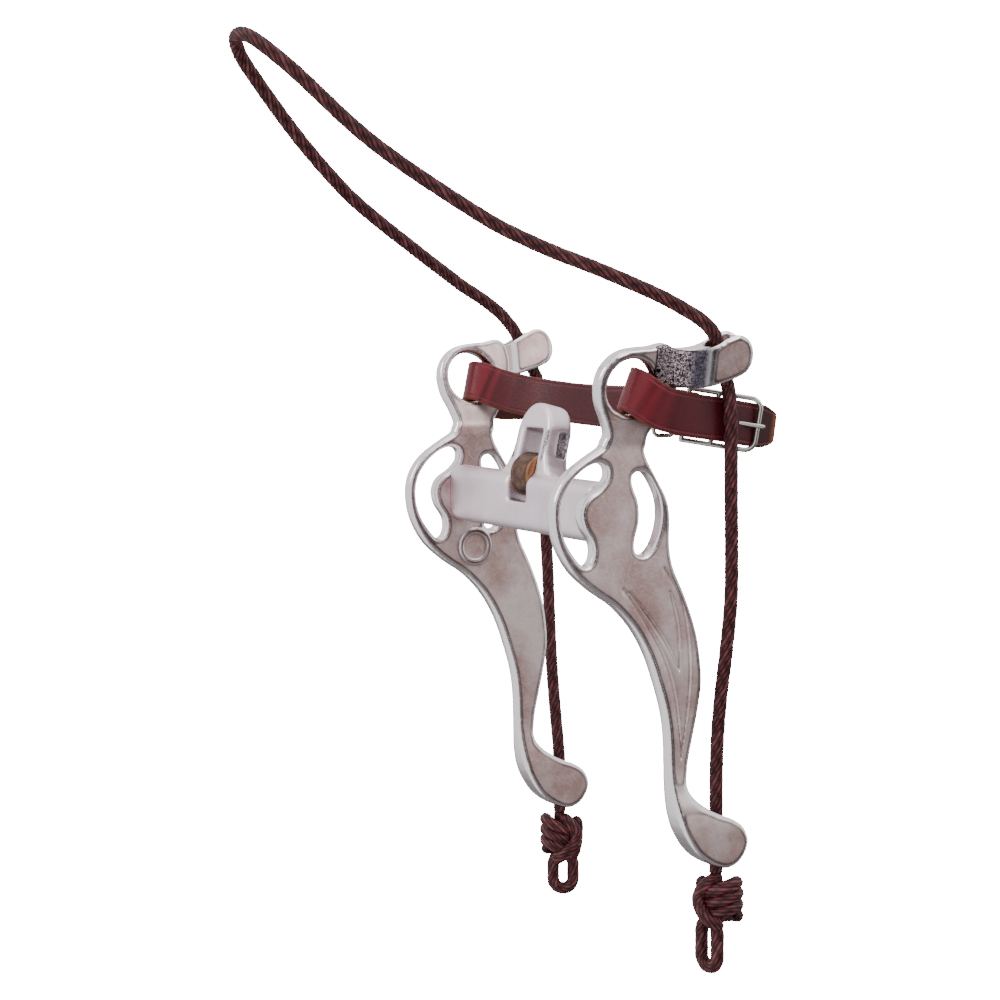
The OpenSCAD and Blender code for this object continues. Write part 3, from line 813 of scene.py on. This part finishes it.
WRAP_POINTS = [
    (75.5, 27, 41.8, 0.1, 0.18), (75.6, 20, 43.7, 0.15, 0.27), (75.2, 14, 46.8, 0.17, 0.31),
    (72.6, 9.2, 50.5, 0.18, 0.3), (67.6, 8.4, 51.5, 0.18, 0.3), (63.4, 11, 50.9, 0.18, 0.3),
    (59.5, 16, 48.4, 0.1, 0.3), (52, 22.5, 45.8, 0, 0.26), (40, 30, 43.6, 0, 0.2),
    (22, 36, 42, 0, 0.1),
]
TAIL_POINTS = [
    (75.2, 35.5, 40.2, 0.03, 0.16), (74.9, 47, 38.6, 0, 0.16), (74.9, 58, 36.85, 0, 0.16),
    (74.9, 68, 35.2, 0, 0.16), (74.9, 77, 33.8, 0, 0.16),
]
STRAP_HALF = 9.2 * MM
STRAP_THICK_HALF = 1.5 * MM
CREASE_IN = 1.9 * MM
CREASE_DEPTH = 0.28 * MM
STRAP_STEP = 0.7 * MM


def strap_profile():
    """(out from the grain side, across) points round the strap's section, and what each is on."""
    half, thick = STRAP_HALF, STRAP_THICK_HALF
    across = np.concatenate([np.linspace(-0.93, -0.85, 2), [-0.8, -0.775, -0.75, -0.725, -0.7],
                             np.linspace(-0.6, 0.6, 9), [0.7, 0.725, 0.75, 0.775, 0.8],
                             np.linspace(0.85, 0.93, 2)]) * half
    dip = CREASE_DEPTH * np.exp(-((np.abs(across) - (half - CREASE_IN)) / (0.22 * MM)) ** 2)
    grain = [(thick - d, a, 0, 0, c) for a, d, c in zip(across, dip, dip / CREASE_DEPTH)]
    flesh = [(-thick, a, 0, 1, 0) for a in np.linspace(0.93, -0.93, 9) * half]
    edge_up = [(thick * 0.82, half * 0.975, 0.5, 0, 0), (thick * 0.4, half, 1, 0, 0),
               (-thick * 0.4, half, 1, 0, 0), (-thick * 0.82, half * 0.98, 1, 0.5, 0)]
    edge_down = [(n, -a, e, f, c) for n, a, e, f, c in reversed(edge_up)]
    return grain + edge_up + flesh + edge_down


def strap_piece():
    """The strap as one band swept along its route: each row of it is x, y, z and two leans."""
    route = (FOLD_POINTS + [(-p[0], p[1], p[2], -p[3], p[4]) for p in WRAP_POINTS]
             + [(0, 38, 41.3, 0, 0.05)] + WRAP_POINTS[::-1] + TAIL_POINTS)
    rows = np.array(route, float)
    rows[:, :3] *= MM
    dense = even_steps(smooth_through(rows, 16), STRAP_STEP)
    line, side = dense[:, :3], np.column_stack([dense[:, 3:5], np.ones(len(dense))])
    tangent = np.gradient(line, axis=0)
    tangent /= np.linalg.norm(tangent, axis=1)[:, None]
    out = np.cross(tangent, side)
    out /= np.linalg.norm(out, axis=1)[:, None]
    wide = np.cross(out, tangent)
    section = np.array(strap_profile())
    turn = np.linalg.norm(np.gradient(tangent, axis=0), axis=1) / np.linalg.norm(
        np.gradient(line, axis=0), axis=1)
    run = run_along(line)
    left = run[-1] - run
    narrow = np.minimum(1, 0.62 + 0.38 * np.sqrt(np.clip(left / (7 * MM), 0, 1)))
    narrow = np.minimum(narrow, 0.7 + 0.3 * np.sqrt(np.clip(run / (5 * MM), 0, 1)))
    verts, edge, flesh, crease, bend = [], [], [], [], []
    for i in range(len(line)):
        wobble = 0.12 * MM * noise.noise(Vector((run[i] * 180, 3.1, 0)))
        ragged = 0.5 * MM * noise.noise(Vector((run[i] * 900, 7.7, 0))) * smoothstep(
            9 * MM, 2 * MM, left[i]) if left[i] < 9 * MM else 0.0
        for n, a, e, f, c in section:
            width = a * narrow[i] + (wobble + ragged) * np.sign(a) * (abs(a) > STRAP_HALF * 0.9)
            verts.append(line[i] + out[i] * n + wide[i] * width)
            edge.append(e)
            flesh.append(f)
            crease.append(c)
            # How sharply the strap turns here, which lightens its colour as a painted highlight.
            bend.append(min(1.0, turn[i] * 0.012))
    rings, sides = len(line), len(section)
    faces = [f[::-1] for f in tube_faces(rings, sides)]
    faces.append(list(range(sides)))
    faces.append([(rings - 1) * sides + k for k in range(sides - 1, -1, -1)])
    piece = new_piece("latigo_curb_strap", verts, faces)
    end_tan = np.repeat(smoothstep(3 * MM, 0.4 * MM, np.minimum(left, run)), sides)
    point_attribute(piece, "cut_edge", np.maximum(edge, end_tan))
    point_attribute(piece, "flesh_side", flesh)
    point_attribute(piece, "crease", crease)
    point_attribute(piece, "bend", bend)
    point_attribute(piece, "dark_tip", np.repeat(1 - smoothstep(9.5 * MM, 11.5 * MM, left), sides))
    make_active(piece)
    bpy.ops.object.mode_set(mode="EDIT")
    bpy.ops.mesh.select_all(action="SELECT")
    bpy.ops.mesh.normals_make_consistent(inside=False)
    bpy.ops.object.mode_set(mode="OBJECT")
    return piece


strap = strap_piece()
strap.data.materials.append(latigo)
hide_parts("curb_strap")
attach(strap, "strap")


# ---------------------------------------------------------------- studio

FLOOR_Z = -0.245
BACKDROP_GLOW = 24.0
deselect()
bpy.ops.mesh.primitive_plane_add(size=30, location=(0, 0, FLOOR_Z))
floor = bpy.context.active_object
floor.name = "studio_floor"
floor_paint, floor_tree, floor_shader = new_material("matt_white_floor")
floor_shader.inputs["Base Color"].default_value = linear("#F4F3F3")
floor_shader.inputs["Roughness"].default_value = 0.9
floor_shader.inputs["Specular IOR Level"].default_value = 0.1
glow = add(floor_tree, "ShaderNodeEmission",
           {"Color": linear("#FFFFFF"), "Strength": BACKDROP_GLOW})
seen = add(floor_tree, "ShaderNodeLightPath").outputs["Is Camera Ray"]
glowing = add(floor_tree, "ShaderNodeMixShader",
              {0: seen, 1: floor_shader.outputs[0], 2: glow.outputs[0]})
floor_tree.links.new(glowing.outputs[0], floor_tree.nodes["Material Output"].inputs["Surface"])
floor.data.materials.append(floor_paint)
floor.visible_glossy = False


def area_light(name, place, size, power):
    data = bpy.data.lights.new(name, "AREA")
    data.shape = "RECTANGLE"
    data.size, data.size_y = size
    data.energy = power
    lamp = bpy.data.objects.new(name, data)
    lamp.location = place
    lamp.rotation_mode = "QUATERNION"
    lamp.rotation_quaternion = (-Vector(place)).to_track_quat("-Z", "Y")
    bpy.context.scene.collection.objects.link(lamp)


area_light("key_softbox", (-0.35, -1.5, 1.0), (0.9, 0.9), 14)
area_light("side_softbox", (1.5, 0.6, 0.9), (0.8, 0.8), 8)
area_light("top_softbox", (0.1, 0.1, 1.7), (1.4, 1.4), 10)

world = bpy.data.worlds.new("pale_studio")
bpy.context.scene.world = world
world.use_nodes = True
sky = world.node_tree
sky.nodes.clear()
direction = add(sky, "ShaderNodeTexCoord").outputs["Generated"]
parts = add(sky, "ShaderNodeSeparateXYZ", {"Vector": direction})
height = add(sky, "ShaderNodeMapRange",
             {"Value": parts.outputs["Z"], "From Min": -1.0, "From Max": 1.0})
level = ramp(sky, height.outputs["Result"], [(0.3, 0.2), (0.38, 0.38), (0.46, 0.82), (0.53, 1.0)])
in_front = ramp(sky, maths(sky, "MULTIPLY", parts.outputs["Y"], -1.0), [(0.12, 0.0), (0.42, 1.0)])
lit = mixed(sky, in_front, level, [1.0, 1.0, 1.0, 1.0])
gap = ramp(sky, parts.outputs["X"], [(0.89, 1.0), (0.95, 0.05)])
tone = mixed(sky, 1.0, lit, gap, "MULTIPLY")
soft = add(sky, "ShaderNodeBackground", {"Color": tone, "Strength": 1.25})
plain = add(sky, "ShaderNodeBackground", {"Color": linear("#FFFFFF"), "Strength": BACKDROP_GLOW})
ray = add(sky, "ShaderNodeLightPath").outputs["Is Camera Ray"]
both = add(sky, "ShaderNodeMixShader", {0: ray, 1: soft.outputs[0], 2: plain.outputs[0]})
add(sky, "ShaderNodeOutputWorld", {"Surface": both.outputs[0]})
